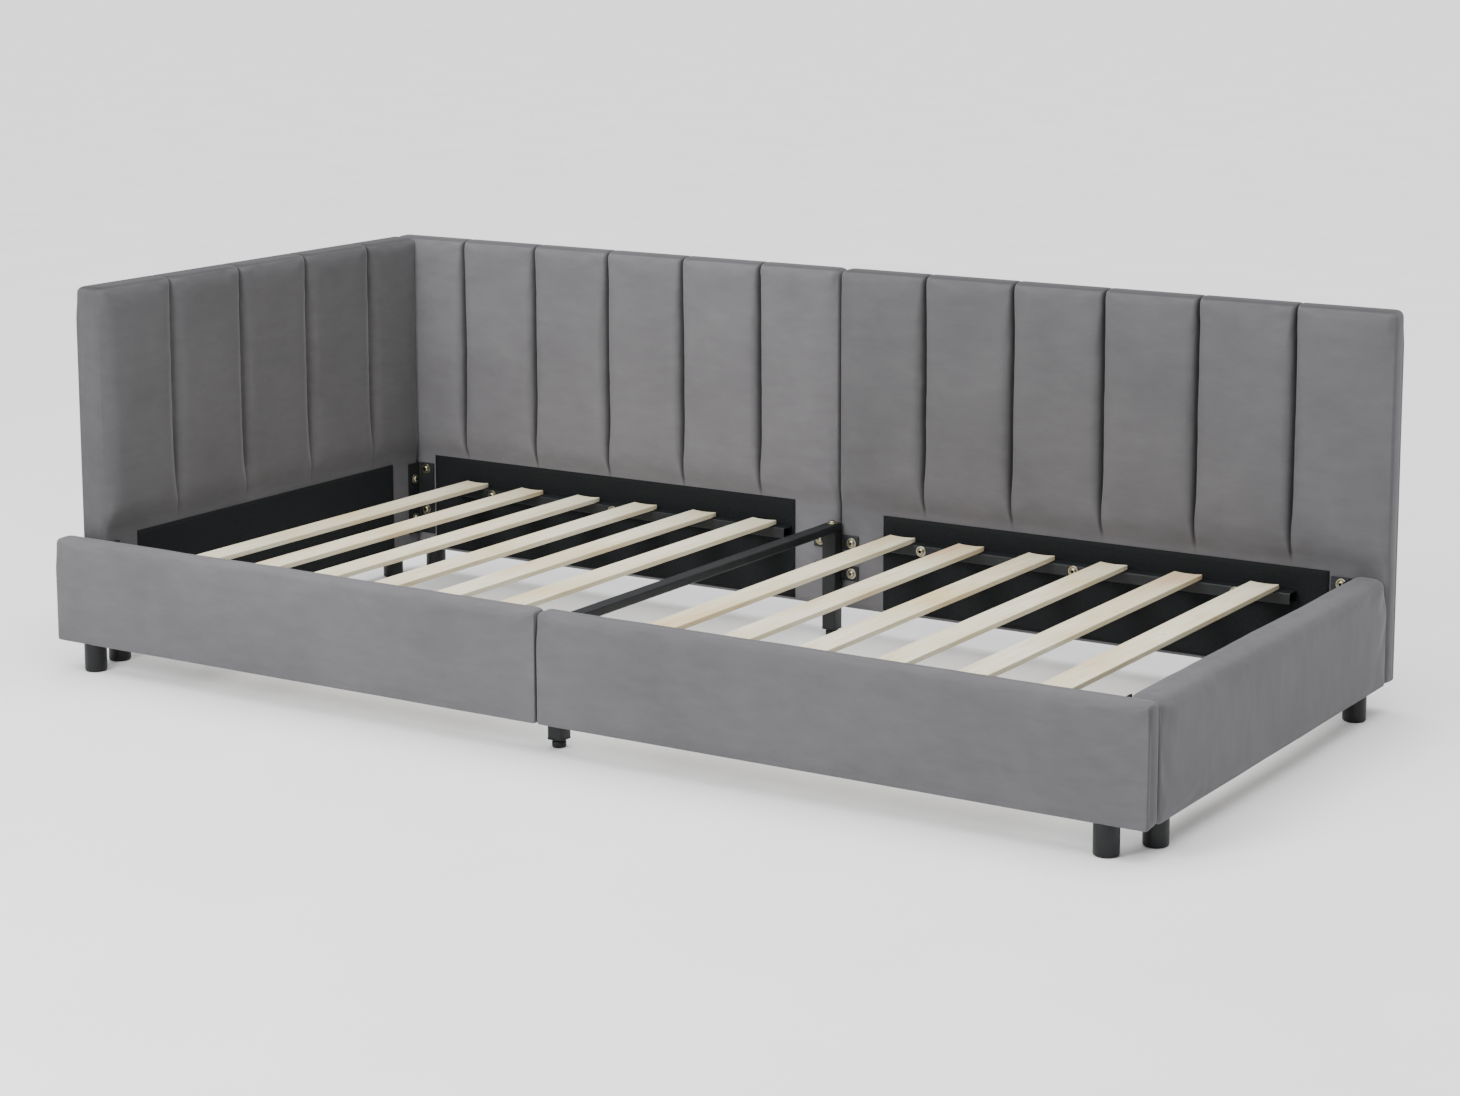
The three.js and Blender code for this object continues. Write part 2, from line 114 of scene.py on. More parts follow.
def add_node(tree, kind, inputs=None, **settings):
    """Adds a node. A tuple of (node, output name) in inputs is a link, anything else a value."""
    made = tree.nodes.new(kind)
    for name, value in settings.items():
        setattr(made, name, value)
    for name, value in (inputs or {}).items():
        socket = made.inputs[name]
        if isinstance(value, tuple) and isinstance(value[0], bpy.types.Node):
            tree.links.new(value[0].outputs[value[1]], socket)
        else:
            socket.default_value = value
    return made


def new_material(name):
    material = bpy.data.materials.new(name)
    material.use_nodes = True
    material.node_tree.nodes.clear()
    return material, material.node_tree


def finish_material(tree, shader):
    add_node(tree, "ShaderNodeOutputMaterial", {"Surface": (shader, "BSDF")})


def ramp(tree, source, stops):
    made = add_node(tree, "ShaderNodeValToRGB", {"Fac": source})
    elements = made.color_ramp.elements
    while len(elements) < len(stops):
        elements.new(0.5)
    for element, (position, hex_colour) in zip(elements, stops):
        element.position = position
        element.color = linear(hex_colour)
    return made


def object_space(tree, scale=(1, 1, 1)):
    coordinates = add_node(tree, "ShaderNodeTexCoord")
    return add_node(tree, "ShaderNodeMapping", {"Vector": (coordinates, "Object"), "Scale": scale})


def noise_texture(tree, scale, detail, stretch=(1, 1, 1), **more):
    """Noise in the piece's own coordinates. more gives roughness and distortion where they differ
    from the node's usual ones."""
    inputs = {"Vector": (object_space(tree, stretch), "Vector"), "Scale": scale, "Detail": detail}
    inputs.update((name.capitalize(), value) for name, value in more.items())
    return add_node(tree, "ShaderNodeTexNoise", inputs)


def bump_from(tree, source, strength, distance):
    return add_node(tree, "ShaderNodeBump", {
        "Height": source, "Strength": strength, "Distance": distance,
    })


# Cut-pile polyester velvet on a knitted back, pile about 1 mm tall: matte face on, pale at a
# grazing angle, in soft patches where hands have brushed the pile another way. marks is how far
# the brush marks are drawn out along x, y, z. The other numbers are painted light and shade in
# the colour: shade is the piece's painted brightness, the next number the painted brightness of
# its faces turned to the foot end, top the painted brightness left on its crown, and fold_shade
# how much is left in the painted shadow along the fold of a seam.
def velvet(name, marks, shade, painted_foot_end_tone, top, fold_shade=0.12):
    material, tree = new_material(name)
    patches = noise_texture(tree, 6.5, 3.0, roughness=0.55, distortion=0.4)
    brushed = noise_texture(tree, 55.0, 4.0, marks, roughness=0.65)
    mixed = add_node(tree, "ShaderNodeMix", {
        "Factor": 0.45, "A": (patches, "Fac"), "B": (brushed, "Fac"),
    })
    tint = ramp(tree, (mixed, "Result"), [(0.32, "#636265"), (0.5, "#69686b"), (0.68, "#6f6e71")])
    turned = add_node(tree, "ShaderNodeSeparateXYZ", {
        "Vector": (add_node(tree, "ShaderNodeTexCoord"), "Normal"),
    })
    # Painted light and shade: faces turned to the foot end (+X) get a brightness of their own in
    # the colour, in place of shading by the lamps.
    foot_end_tone = add_node(tree, "ShaderNodeMapRange", {
        "Value": (turned, "X"), "From Min": 0.3, "From Max": 0.95,
        "To Min": shade, "To Max": painted_foot_end_tone,
    }, interpolation_type="SMOOTHSTEP")
    # Painted shade on the crown: faces turned up get a brightness of their own in the colour,
    # darker on most panels and a little lighter on the front left rail.
    crown = add_node(tree, "ShaderNodeMapRange", {
        "Value": (turned, "Z"), "From Min": 0.45, "From Max": 1.0, "To Min": 1.0, "To Max": top,
    }, interpolation_type="SMOOTHSTEP")
    value = add_node(tree, "ShaderNodeMath", {
        0: (foot_end_tone, "Result"), 1: (crown, "Result"),
    }, operation="MULTIPLY")
    # Painted shadow in the seams: a point attribute darkens the colour along each seam's fold.
    fold = add_node(tree, "ShaderNodeAttribute", attribute_name="fold")
    shadow = add_node(tree, "ShaderNodeMapRange", {
        "Value": (fold, "Fac"), "To Min": 1.0, "To Max": fold_shade,
    })
    # All the painted light and shade together: the piece's and its crown's painted brightness,
    # times the painted seam shadow.
    folded = add_node(tree, "ShaderNodeMath", {
        0: (value, "Value"), 1: (shadow, "Result"),
    }, operation="MULTIPLY")
    shaded = add_node(tree, "ShaderNodeHueSaturation", {
        "Color": (tint, "Color"), "Value": (folded, "Value"),
    })
    pile = noise_texture(tree, 900.0, 2.0)
    bump = bump_from(tree, (pile, "Fac"), 0.15, 0.0004)
    shader = add_node(tree, "ShaderNodeBsdfPrincipled", {
        "Base Color": (shaded, "Color"), "Roughness": 0.95, "Normal": (bump, "Normal"),
        "Specular IOR Level": 0.15, "Sheen Weight": 0.28, "Sheen Roughness": 0.4,
        "Sheen Tint": linear("#dfe0e4"),
    })
    finish_material(tree, shader)
    return material


# Spun-bonded polypropylene lining: black, matte, with a grid of small welded points 2 mm apart.
def bonded_lining():
    material, tree = new_material("spun_bonded_lining")
    points = add_node(tree, "ShaderNodeTexVoronoi", {
        "Vector": (object_space(tree), "Vector"), "Scale": 500.0, "Randomness": 0.25,
    })
    fibres = noise_texture(tree, 260.0, 4.0)
    tint = ramp(tree, (fibres, "Fac"), [(0.3, "#17191b"), (0.7, "#1f2123")])
    bump = bump_from(tree, (points, "Distance"), 0.04, 0.0003)
    shader = add_node(tree, "ShaderNodeBsdfPrincipled", {
        "Base Color": (tint, "Color"), "Roughness": 0.92, "Normal": (bump, "Normal"),
        "Specular IOR Level": 0.2,
    })
    finish_material(tree, shader)
    return material


# Powder-coated mild steel: black with a fine orange-peel texture about 1.5 mm across.
def powder_coat():
    material, tree = new_material("black_powder_coat")
    peel = noise_texture(tree, 650.0, 2.0)
    patches = noise_texture(tree, 18.0, 2.0)
    rough = add_node(tree, "ShaderNodeMapRange", {
        "Value": (patches, "Fac"), "To Min": 0.42, "To Max": 0.58,
    })
    bump = bump_from(tree, (peel, "Fac"), 0.3, 0.0002)
    tint = ramp(tree, (patches, "Fac"), [(0.35, "#101315"), (0.65, "#171b1d")])
    shader = add_node(tree, "ShaderNodeBsdfPrincipled", {
        "Base Color": (tint, "Color"), "Roughness": (rough, "Result"), "Normal": (bump, "Normal"),
        "Specular IOR Level": 0.4,
    })
    finish_material(tree, shader)
    return material


# Moulded black polypropylene: satin, with the mould's fine spark-eroded grain.
def moulded_plastic():
    material, tree = new_material("moulded_black_plastic")
    grain = noise_texture(tree, 1400.0, 3.0)
    wear = noise_texture(tree, 35.0, 3.0)
    tint = ramp(tree, (wear, "Fac"), [(0.35, "#0c0e10"), (0.65, "#121416")])
    rough = add_node(tree, "ShaderNodeMapRange", {
        "Value": (wear, "Fac"), "To Min": 0.38, "To Max": 0.52,
    })
    bump = bump_from(tree, (grain, "Fac"), 0.15, 0.0002)
    shader = add_node(tree, "ShaderNodeBsdfPrincipled", {
        "Base Color": (tint, "Color"), "Roughness": (rough, "Result"), "Normal": (bump, "Normal"),
        "Specular IOR Level": 0.35,
    })
    finish_material(tree, shader)
    return material


# Rotary-cut birch plywood slat: pale, with long wavy grain about 6 mm wide along the slat,
# warmer patches, a few small knots, and darker glue lines between its plies on the edges.
def birch(name, shift, warm):
    material, tree = new_material(name)
    coordinates = add_node(tree, "ShaderNodeTexCoord")
    place = add_node(tree, "ShaderNodeMapping", {
        "Vector": (coordinates, "Object"), "Location": (shift, shift * 2.3, 0),
        "Scale": (1.0, 0.06, 1.0),
    })
    grain = add_node(tree, "ShaderNodeTexNoise", {
        "Vector": (place, "Vector"), "Scale": 160.0, "Detail": 5.0, "Roughness": 0.6,
        "Distortion": 0.6,
    })
    patch_place = add_node(tree, "ShaderNodeMapping", {
        "Vector": (coordinates, "Object"), "Location": (shift, shift, 0), "Scale": (1.0, 0.35, 1.0),
    })
    patches = add_node(tree, "ShaderNodeTexNoise", {
        "Vector": (patch_place, "Vector"), "Scale": 9.0, "Detail": 2.0,
    })
    fine = ramp(tree, (grain, "Fac"), [(0.35, "#e8e3cd"), (0.55, "#e1dabf"), (0.75, "#d3c7a4")])
    broad = ramp(tree, (patches, "Fac"), [(0.38, "#ffffff"), (0.6, "#f6efe2"), (0.75, warm)])
    toned = add_node(tree, "ShaderNodeMix", {
        "Factor": 1.0, "A": (fine, "Color"), "B": (broad, "Color"),
    }, data_type="RGBA", blend_type="MULTIPLY")
    knots = add_node(tree, "ShaderNodeTexVoronoi", {
        "Vector": (patch_place, "Vector"), "Scale": 14.0, "Randomness": 1.0,
    })
    speck = ramp(tree, (knots, "Distance"), [(0.0, "#4a3a26"), (0.04, "#ffffff")])
    knotted = add_node(tree, "ShaderNodeMix", {
        "Factor": 0.8, "A": (toned, "Result"), "B": (speck, "Color"),
    }, data_type="RGBA", blend_type="MULTIPLY")
    plies = add_node(tree, "ShaderNodeTexWave", {
        "Vector": (coordinates, "Object"), "Scale": 105.0, "Distortion": 0.6, "Detail": 1.0,
    }, bands_direction="Z")
    glue = ramp(tree, (plies, "Fac"), [(0.0, "#8f7a55"), (0.12, "#ffffff")])
    facing = add_node(tree, "ShaderNodeSeparateXYZ", {"Vector": (coordinates, "Normal")})
    level = add_node(tree, "ShaderNodeMath", {0: (facing, "Z")}, operation="ABSOLUTE")
    edge_on = add_node(tree, "ShaderNodeMapRange", {
        "Value": (level, "Value"), "From Min": 0.1, "From Max": 0.5, "To Min": 0.6, "To Max": 0.0,
    })
    layered = add_node(tree, "ShaderNodeMix", {
        "Factor": (edge_on, "Result"), "A": (knotted, "Result"), "B": (glue, "Color"),
    }, data_type="RGBA", blend_type="MULTIPLY")
    bump = bump_from(tree, (grain, "Fac"), 0.2, 0.0002)
    shader = add_node(tree, "ShaderNodeBsdfPrincipled", {
        "Base Color": (layered, "Result"), "Roughness": 0.62, "Normal": (bump, "Normal"),
        "Specular IOR Level": 0.3,
    })
    finish_material(tree, shader)
    return material


# Yellow-passivated zinc plate on steel: a bright metal with a faint gold cast.
def zinc_plate():
    material, tree = new_material("yellow_zinc_plate")
    cast = noise_texture(tree, 120.0, 2.0)
    tint = ramp(tree, (cast, "Fac"), [(0.35, "#a59f84"), (0.55, "#bbb7a4"), (0.7, "#9a8c5e")])
    shader = add_node(tree, "ShaderNodeBsdfPrincipled", {
        "Base Color": (tint, "Color"), "Roughness": 0.3, "Metallic": 1.0,
    })
    finish_material(tree, shader)
    return material


# Sawn plywood of the hidden core boards: brown, with grain along the board.
def core_plywood():
    material, tree = new_material("core_plywood")
    grain = noise_texture(tree, 90.0, 4.0, (0.08, 0.08, 1.0))
    tint = ramp(tree, (grain, "Fac"), [(0.3, "#a98a60"), (0.7, "#c3a67c")])
    shader = add_node(tree, "ShaderNodeBsdfPrincipled", {
        "Base Color": (tint, "Color"), "Roughness": 0.75,
    })
    finish_material(tree, shader)
    return material


# Seamless paper floor: pale and matte.
def paper():
    material, tree = new_material("seamless_paper")
    fibre = noise_texture(tree, 3.0, 2.0)
    tint = ramp(tree, (fibre, "Fac"), [(0.3, "#f6f6f7"), (0.7, "#fafafa")])
    shader = add_node(tree, "ShaderNodeBsdfPrincipled", {
        "Base Color": (tint, "Color"), "Roughness": 0.9, "Specular IOR Level": 0.1,
    })
    finish_material(tree, shader)
    return material


ALONG, ACROSS, UPRIGHT = (0.35, 1.0, 1.0), (1.0, 0.35, 1.0), (1.0, 1.0, 0.3)
# Lit and shaded copies of one grey velvet: each panel's numbers are painted light and shade set
# panel by panel, so the same fabric shows a different grey on each panel from any side.
VELVETS = {
    "headboard": velvet("grey_velvet_painted_light_headboard", ACROSS, 0.62, 0.78, 0.55, 0.9),
    "back_left": velvet("grey_velvet_painted_light_back_left", ALONG, 1.13, 0.85, 0.5),
    "back_right": velvet("grey_velvet_painted_light_back_right", ALONG, 0.89, 0.7, 0.5),
    "front_left": velvet("grey_velvet_painted_light_front_left", ALONG, 0.85, 0.68, 1.05),
    "front_right": velvet("grey_velvet_painted_light_front_right", ALONG, 0.79, 0.6, 1.0),
    "foot": velvet("grey_velvet_painted_light_foot", UPRIGHT, 0.93, 0.71, 0.78),
}
LINING = bonded_lining()
STEEL = powder_coat()
PLASTIC = moulded_plastic()
ZINC = zinc_plate()
PLYWOOD = core_plywood()


def make_studio():
    bm = bmesh.new()
    bmesh.ops.create_grid(bm, x_segments=1, y_segments=1, size=FLOOR_HALF)
    floor = to_object(bm, "floor", paper())
    world = bpy.data.worlds.new("studio")
    world.use_nodes = True
    world.node_tree.nodes.clear()
    glow = add_node(world.node_tree, "ShaderNodeBackground", {
        "Color": linear("#ffffff"), "Strength": WORLD_GLOW,
    })
    add_node(world.node_tree, "ShaderNodeOutputWorld", {"Surface": (glow, "Background")})
    bpy.context.scene.world = world
    high_sun("overhead", strength=4.6, softness=75)
    soft_light(
        "key", place=(-0.7, -4.0, 2.6), aim=(-0.7, 0.4, 0.4), size=(1.6, 1.6), power=150,
    )
    soft_light("side", place=(3.4, -1.4, 1.2), aim=(1.05, 0, 0.2), size=(1.4, 1.0), power=3)


# ------------------------------------------------------------------ building helpers
def to_object(bm, name, material, smooth=False, sharp_over=None):
    """Turns a bmesh into a piece. Edges that turn by more than sharp_over degrees stay sharp."""
    mesh = bpy.data.meshes.new(name)
    bm.to_mesh(mesh)
    bm.free()
    mesh.materials.append(material)
    if smooth:
        mesh.shade_smooth()
    if sharp_over:
        mesh.set_sharp_from_angle(angle=math.radians(sharp_over))
    made = bpy.data.objects.new(name, mesh)
    bpy.context.scene.collection.objects.link(made)
    return made


def box_bm(low, high):
    bm = bmesh.new()
    bmesh.ops.create_cube(bm, size=1.0)
    size = [b - a for a, b in zip(low, high)]
    middle = [(a + b) / 2 for a, b in zip(low, high)]
    bmesh.ops.scale(bm, vec=size, verts=bm.verts)
    bmesh.ops.translate(bm, vec=middle, verts=bm.verts)
    return bm


def divide_along(bm, axis, stops):
    """Splits a box across one axis and moves the new rows of points to the given stops."""
    low, high = stops[0], stops[-1]
    along = [
        e for e in bm.edges
        if abs(e.verts[0].co[axis] - e.verts[1].co[axis]) > 0.5 * (high - low)
    ]
    count = len(stops) - 1
    bmesh.ops.subdivide_edges(bm, edges=along, cuts=count - 1, use_grid_fill=False)
    for vert in bm.verts:
        row = round((vert.co[axis] - low) / (high - low) * count)
        vert.co[axis] = stops[row]


def bevel_edges(bm, edges, width, segments=2):
    bmesh.ops.bevel(
        bm, geom=edges, offset=width, offset_type="OFFSET", segments=segments, profile=0.5,
        affect="EDGES", material=-1,
    )


def cut_evenly(bm, axis, start, span, pieces):
    """Cuts a mesh across one axis into pieces of equal length."""
    normal = [0, 0, 0]
    normal[axis] = 1
    for i in range(1, pieces):
        place = [0, 0, 0]
        place[axis] = start + span * i / pieces
        bmesh.ops.bisect_plane(
            bm, geom=bm.verts[:] + bm.edges[:] + bm.faces[:], plane_co=place, plane_no=normal,
        )


def smoothstep(low, high, value):
    share = min(max((value - low) / (high - low), 0.0), 1.0)
    return share * share * (3 - 2 * share)


def spin_profile(points, steps=48):
    """A closed round solid from a half outline of (radius, height) points that starts and ends
    on the axis."""
    bm = bmesh.new()
    verts = [bm.verts.new((r, 0, z)) for r, z in points]
    edges = [bm.edges.new(pair) for pair in zip(verts, verts[1:])]
    bmesh.ops.spin(
        bm, geom=verts + edges, cent=(0, 0, 0), axis=(0, 0, 1), angle=math.tau, steps=steps,
        use_merge=True,
    )
    bmesh.ops.remove_doubles(bm, verts=bm.verts, dist=1e-6)
    bmesh.ops.recalc_face_normals(bm, faces=bm.faces)
    return bm


def place_bm(bm, matrix):
    bmesh.ops.transform(bm, matrix=matrix, verts=bm.verts)
    return bm


def give(piece, nodes=(), body="bed"):
    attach(piece, body)
    if nodes:
        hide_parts(*nodes)


# ------------------------------------------------------------------ padded panels
CREST = 10 * MM                 # how far the channels stand in front of the panel's plain part
CHANNEL_FOOT = 252 * MM         # where the channels begin, above the floor
PILLOW_ROUND = 25 * MM          # how far from a seam the padding is still rounded
SEAM_DEPTH = 10 * MM            # how deep a seam cuts into the back's padding
HEAD_SEAM_DEPTH = 4 * MM        # the same on the headboard
OUTER_EDGE = 6 * MM             # radius of a panel's upright edges at its outer face
INNER_EDGE = 13 * MM            # and at its inner face
STEP = 13 * MM                  # the widest mesh row
THROUGH_STEP = 8 * MM           # the same through the panel's thickness
SEAM_STEPS = (1.3, 3.4, 7.5, 13.5, 22.0)    # mesh rows on either side of a seam, mm
EDGE_STEPS = (2.0, 5.0, 9.0, 14.0, 20.0)    # and next to an edge, mm
CLOTH_FRAMES = 20
CLOTH_PRESSURE = 1.0
DRAWN_MOST = 2.5 * MM


def stops_between(low, high, marks, near_marks, step):
    """Sorted cut places from low to high: close together round each mark, step apart elsewhere."""
    places = {low, high}
    for edge, sign in ((low, 1), (high, -1)):
        places.update(edge + sign * s * MM for s in EDGE_STEPS)
    for mark in marks:
        places.add(mark)
        places.update(mark + sign * s * MM for s in near_marks for sign in (-1, 1))
    places = sorted(p for p in places if low <= p <= high)
    filled = [places[0]]
    for place in places[1:]:
        if place - filled[-1] < 0.6 * MM:
            continue
        pieces = max(1, math.ceil((place - filled[-1]) / step))
        start = filled[-1]
        filled += [start + (place - start) * (i + 1) / pieces for i in range(pieces)]
    filled[-1] = high
    return filled


def rounded(point, low, high, radius):
    """Moves a point on a box's surface onto the same box with rounded edges."""
    core = Vector([
        min(max(p, a + radius), b - radius) if b - a > 2 * radius else (a + b) / 2
        for p, a, b in zip(point, low, high)
    ])
    away = Vector(point) - core
    if away.length < 1e-9:
        return Vector(point)
    return core + away.normalized() * radius


def mixed(a, b, share):
    return a + (b - a) * share


def edge_radius(through, up, crown):
    """Edge radius from the outer face (through = 0) to the inner face, and from the underside
    (up = 0) to the crown."""
    side = mixed(OUTER_EDGE, INNER_EDGE, through)
    top = mixed(min(crown, 0.75 * crown + 2 * MM), crown, through)
    return mixed(side, top, up)


def pillow_rise(u, z, seams, seed):
    """How far the padding stands at a place on the inner face, how deep the seam is there, how much
    of the pillow's rounding is left, and the weight of the painted shadow along the seam's fold."""
    seam = min(seams, key=lambda place: abs(u - place))
    low = 1 - smoothstep(CHANNEL_FOOT, CHANNEL_FOOT + 60 * MM, z)
    wander = 1.0 * MM * noise.noise(Vector((z * 7, seam * 9, seed))) - 2.5 * MM * low
    away = abs(u - seam - wander)
    inside = 1 - min(away / PILLOW_ROUND, 1.0)
    pillow = math.sqrt(max(0.0, 1 - inside * inside))
    pad = smoothstep(CHANNEL_FOOT - 3 * MM, CHANNEL_FOOT + 26 * MM, z)
    drawn = smoothstep(CHANNEL_FOOT - 3 * MM, CHANNEL_FOOT + 6 * MM, z)
    sewn = smoothstep(CHANNEL_FOOT, CHANNEL_FOOT + 120 * MM, z)
    pucker = noise.noise(Vector((seam * 31, z * 42, seed))) * math.exp(-(away / (14 * MM)) ** 2)
    rise = CREST * pad * mixed(0.72 + 0.28 * pillow, pillow, sewn)
    rise += 0.7 * MM * pucker * pad
    slit = math.exp(-(away / (1.9 * MM)) ** 2) * mixed(0.55, 1.0, sewn) * drawn
    # Weight of the painted seam shadow: a narrow band along each seam, darkened in the colour in
    # place of the shade inside the slit.
    fold = math.exp(-(away / (1.5 * MM)) ** 2)
    fold *= smoothstep(CHANNEL_FOOT - 11 * MM, CHANNEL_FOOT + 12 * MM, z)
    return rise, slit, pillow, fold


def panel_shape(bm, length, thick, low_z, high_z, seams, seam_deep, crown, seed):
    """Rounds the panel's edges and pads its inner face (+Y) in channels between the seams."""
    low = Vector((0, 0, low_z))
    high = Vector((length, thick, high_z))
    # Per-point weight of the painted seam shadow that the velvet colour reads.
    seam_shade_layer = bm.verts.layers.float.new("fold")
    for vert in bm.verts:
        u, v, z = vert.co
        through = v / thick
        up = smoothstep(high_z - 60 * MM, high_z - 20 * MM, z)
        radius = edge_radius(through, up, crown)
        moved = rounded(vert.co, low, high, min(radius, thick / 2 - 0.5 * MM))
        soft = noise.noise(Vector((u * 5, z * 5, seed + v * 9)))
        small = noise.noise(Vector((u * 19, z * 12, seed + 7)))
        end = min(u, length - u)
        crease = math.exp(-((v - 10 * MM) / (4 * MM)) ** 2) * (1 - smoothstep(0, 3 * MM, end))
        crease *= smoothstep(low_z, low_z + 30 * MM, z) * (1 - up)
        moved.x += math.copysign(1.5 * MM * crease * (1 + 0.5 * soft), length / 2 - u)
        if seams:
            rise, slit, pillow, fold = pillow_rise(u, z, seams, seed)
            vert[seam_shade_layer] = fold if through > 0.6 else 0.0
            inward = smoothstep(0.3, 0.9, through)
            flare = smoothstep(0, 22 * MM, end)
            moved.y += inward * (rise * mixed(0.55, 1.0, flare) - seam_deep * slit)
            above = smoothstep(CHANNEL_FOOT, CHANNEL_FOOT + 30 * MM, z)
            moved.y += inward * above * 0.7 * MM * soft
            notch = up * (1.3 * MM * (1 - pillow) * inward + 2.0 * MM * slit)
            moved.z -= notch * seam_deep / SEAM_DEPTH
        else:
            clear = 1.0 if through < 0.5 else smoothstep(high_z - 18 * MM, high_z - 6 * MM, z)
            moved.y += (0.8 * MM * soft + 0.4 * MM * small) * (2 * through - 1) * clear
            moved.z += (1.2 * MM * soft + 0.5 * MM * small) * up
        vert.co = moved


def held_weight(place, length, thick, low_z, high_z, seams):
    """1 where the velvet is sewn, stapled or glued down on its panel, 0 where it is free."""
    u, v, z = place
    if z < low_z + 9 * MM or min(u, length - u) < 1 * MM or (seams and z > high_z - 1 * MM):
        return 1.0
    if seams:
        sewn = min(abs(u - seam) for seam in seams) < 1 * MM
        return 1.0 if sewn or v < 0.3 * thick or z < CHANNEL_FOOT else 0.0
    return 1.0 if v > 0.7 * thick else 0.0


def draw_over_padding(panel, weights):
    """Cloth simulation: the velvet is pushed out by its padding and pulled back by the places where
    it is held. Afterwards no point has moved further than DRAWN_MOST."""
    group = panel.vertex_groups.new(name="held")
    for index, weight in enumerate(weights):
        if weight > 0:
            group.add([index], weight, "REPLACE")
    cloth = panel.modifiers.new("velvet_cloth", "CLOTH")
    settings = cloth.settings
    settings.quality = 4
    settings.mass = 0.3
    settings.tension_stiffness = settings.compression_stiffness = 18
    settings.shear_stiffness = 6
    settings.bending_stiffness = 0.35
    settings.shrink_min = -0.0012
    settings.use_pressure = True
    settings.uniform_pressure_force = CLOTH_PRESSURE
    settings.effector_weights.gravity = 0
    settings.vertex_group_mass = group.name
    cloth.collision_settings.use_collision = False
    cloth.point_cache.frame_start = 1
    cloth.point_cache.frame_end = CLOTH_FRAMES
    scene = bpy.context.scene
    for step in range(1, CLOTH_FRAMES + 1):
        scene.frame_set(step)
    drawn = panel.evaluated_get(bpy.context.evaluated_depsgraph_get()).data
    for vert, final in zip(panel.data.vertices, drawn.vertices):
        shift = final.co - vert.co
        vert.co += shift * min(1.0, DRAWN_MOST / max(shift.length, 1e-9))
    panel.modifiers.remove(cloth)
    panel.vertex_groups.clear()
    scene.frame_set(1)


def padded_panel(name, seams, turn, origin, length, thick, top, crown, seed, also):
    """A velvet panel made lying along +X, outer face at y = 0, then turned and moved into place."""
    low_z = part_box(f"{name}_cover")[0][2]
    bm = box_bm((0, 0, low_z), (length, thick, top))
    divide_along(bm, 0, stops_between(0, length, seams, SEAM_STEPS, STEP))
    divide_along(bm, 2, stops_between(low_z, top, [], (), STEP))
    divide_along(bm, 1, stops_between(0, thick, [], (), THROUGH_STEP))
    weights = [held_weight(vert.co, length, thick, low_z, top, seams) for vert in bm.verts]
    seam_deep = HEAD_SEAM_DEPTH if name == "headboard" else SEAM_DEPTH
    panel_shape(bm, length, thick, low_z, top, seams, seam_deep, crown, seed)
    place_bm(bm, Matrix.Translation(origin) @ Matrix.Rotation(turn, 4, "Z"))
    bmesh.ops.recalc_face_normals(bm, faces=bm.faces)
    panel = to_object(bm, f"{name}_upholstery", VELVETS[name], smooth=True)
    draw_over_padding(panel, weights)
    smooth = panel.modifiers.new("smooth", "SUBSURF")
    smooth.levels = smooth.render_levels = 1
    give(panel, [f"{name}_cover", *also])


def seam_places(length, count, first_share=1.0):
    """Seams between equal channels, of which the first has first_share of the others' width."""
    pitch = length / (count - 1 + first_share)
    return [pitch * (first_share + i) for i in range(count - 1)]


HEAD_REAR_SHARE = 0.81

# Each panel's channels, quarter turns about +Z, crown and seed.
PANELS = {
    "headboard": (5, -1, 15 * MM, 3),
    "back_left": (6, 2, 15 * MM, 11),
    "back_right": (6, 2, 15 * MM, 19),
    "front_left": (0, 0, 15 * MM, 27),
    "front_right": (0, 0, 15 * MM, 35),
    "foot": (0, 1, 26 * MM, 43),
}


def make_panel(name):
    channels, quarters, crown, seed = PANELS[name]
    low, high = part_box(f"{name}_cover")
    origin_x = (high if quarters in (1, 2) else low)[0]
    origin_y = (high if quarters in (2, -1) else low)[1]
    along, through = (1, 0) if quarters % 2 else (0, 1)
    length = high[along] - low[along]
    thick = high[through] - low[through]
    if channels:
        thick -= CREST
        seams = seam_places(length, channels, HEAD_REAR_SHARE if name == "headboard" else 1.0)
        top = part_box("headboard_cover")[1][2]
        also = [f"{name}_foam"]
    else:
        seams, also = [], []
        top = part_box("foot_cover")[1][2]
    padded_panel(
        name, seams, quarters * math.pi / 2, (origin_x, origin_y, 0), length, thick, top, crown,
        seed, also,
    )


# ------------------------------------------------------------------ linings
LINING_THICK = 0.4 * MM
LINING_WAVE = 0.18 * MM


